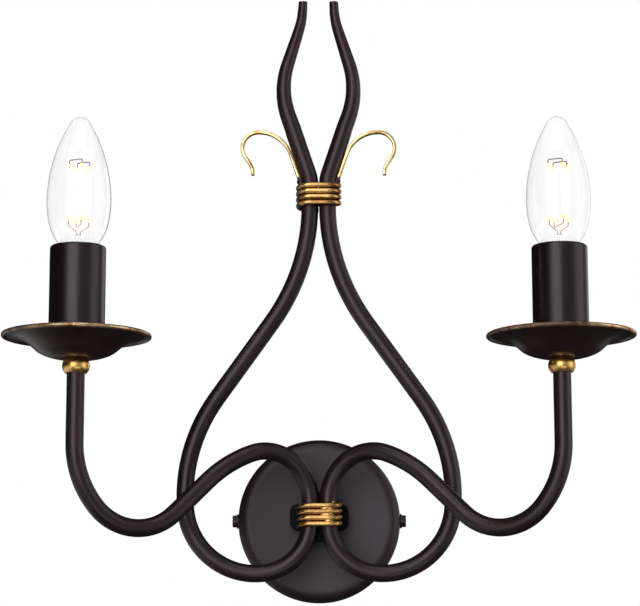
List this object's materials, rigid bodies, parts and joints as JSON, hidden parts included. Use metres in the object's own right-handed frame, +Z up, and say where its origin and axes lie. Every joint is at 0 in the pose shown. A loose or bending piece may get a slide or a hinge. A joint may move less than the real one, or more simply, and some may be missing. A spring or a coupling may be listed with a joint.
{
  "type": "double arm wall sconce",
  "caption": "Wrought-iron style wall sconce: bent tube arms with drip pans and candle sleeves, clear candle bulbs, a drop-shaped bow with horns, brass wire bindings and curls.",
  "frame": {"origin": "centre of the bracket's wall side, in the wall plane, between the two slots", "axes": "+Y into the wall, the lamp stands out towards -Y; +Z up; +X to the right seen from the room"},
  "size_m": [0.3514, 0.15, 0.3556],
  "materials": {
    "black_iron": "satin, dark brown-black",
    "black_pan": "satin black with a brushed gold rim",
    "black_plate": "satin black",
    "black_screw": "satin black",
    "black_sleeve": "satin gloss black",
    "brass_strip": "antique gold, satin",
    "brass_wire": "gold, darkened at the sides",
    "zinc_steel": "zinc plated",
    "holder_plastic": "matt cream",
    "contact_brass": "bright",
    "bulb_glass": "clear",
    "stem_glass": "clear",
    "cap_metal": "nickel plated",
    "black_insulator": "glossy black glass",
    "filament": "yellow phosphor, lit",
    "lead_wire": "coppered steel wire",
    "terminal_plastic": "white"
  },
  "bodies": {
    "lamp": {"wall_bracket": "zinc_steel", "backplate": "black_plate", "mounting_block": "black_iron", "block_screws": "zinc_steel", "terminal_block": "terminal_plastic", "terminal_tubes": "contact_brass", "terminal_screws": "zinc_steel", "terminal_fixing_screw": "zinc_steel", "earth_screw": "contact_brass", "earth_washers": "contact_brass", "upper_binding": "brass_wire", "lower_binding": "brass_wire", "left_arm": "black_iron", "left_bow": "black_iron", "left_curl": "brass_strip", "left_bead": "black_iron", "left_drip_pan": "black_pan", "left_locknut": "zinc_steel", "left_lampholder": "holder_plastic", "left_thread_shell": "contact_brass", "left_centre_contact": "contact_brass", "left_candle_sleeve": "black_sleeve", "right_arm": "black_iron", "right_bow": "black_iron", "right_curl": "brass_strip", "right_bead": "black_iron", "right_drip_pan": "black_pan", "right_locknut": "zinc_steel", "right_lampholder": "holder_plastic", "right_thread_shell": "contact_brass", "right_centre_contact": "contact_brass", "right_candle_sleeve": "black_sleeve"},
    "left_bulb_contact": {"left_tip_contact": "cap_metal"},
    "left_bulb": {"left_bulb_glass": "bulb_glass", "left_bulb_cap": "cap_metal", "left_cap_insulator": "black_insulator", "left_bulb_stem": "stem_glass", "left_filaments": "filament", "left_lead_wires": "lead_wire"},
    "left_washer_slide": {"left_side_washer": "black_screw"},
    "left_screw": {"left_side_screw": "black_screw"},
    "right_bulb_contact": {"right_tip_contact": "cap_metal"},
    "right_bulb": {"right_bulb_glass": "bulb_glass", "right_bulb_cap": "cap_metal", "right_cap_insulator": "black_insulator", "right_bulb_stem": "stem_glass", "right_filaments": "filament", "right_lead_wires": "lead_wire"},
    "right_washer_slide": {"right_side_washer": "black_screw"},
    "right_screw": {"right_side_screw": "black_screw"}
  },
  "joints": [
    {"name": "left_bulb_lift", "type": "slide", "parent": "lamp", "child": "left_bulb_contact", "axis": [0, 0, 1], "range_m": [0, 0.0141]},
    {"name": "left_bulb_turn", "type": "hinge", "parent": "left_bulb_contact", "child": "left_bulb", "pos_m": [-0.1341, -0.10848, 0.13], "axis": [0, 0, 1], "range_deg": [0, 1800]},
    {"name": "left_screw_draw", "type": "slide", "parent": "lamp", "child": "left_washer_slide", "axis": [-1, 0, 0], "range_m": [0, 0.0042]},
    {"name": "left_screw_turn", "type": "hinge", "parent": "left_washer_slide", "child": "left_screw", "pos_m": [-0.049, -0.013, 0], "axis": [-1, 0, 0], "range_deg": [0, 2160]},
    {"name": "right_bulb_lift", "type": "slide", "parent": "lamp", "child": "right_bulb_contact", "axis": [0, 0, 1], "range_m": [0, 0.0141]},
    {"name": "right_bulb_turn", "type": "hinge", "parent": "right_bulb_contact", "child": "right_bulb", "pos_m": [0.1341, -0.10848, 0.13], "axis": [0, 0, 1], "range_deg": [0, 1800]},
    {"name": "right_screw_draw", "type": "slide", "parent": "lamp", "child": "right_washer_slide", "axis": [1, 0, 0], "range_m": [0, 0.0042]},
    {"name": "right_screw_turn", "type": "hinge", "parent": "right_washer_slide", "child": "right_screw", "pos_m": [0.049, -0.013, 0], "axis": [1, 0, 0], "range_deg": [0, 2160]}
  ],
  "couplings": [
    {"joint": "left_bulb_lift", "follows": "left_bulb_turn", "m_per_rad": 0.00044882},
    {"joint": "left_screw_turn", "follows": "left_screw_draw", "rad_per_m": 8976},
    {"joint": "right_bulb_lift", "follows": "right_bulb_turn", "m_per_rad": 0.00044882},
    {"joint": "right_screw_turn", "follows": "right_screw_draw", "rad_per_m": 8976}
  ]
}
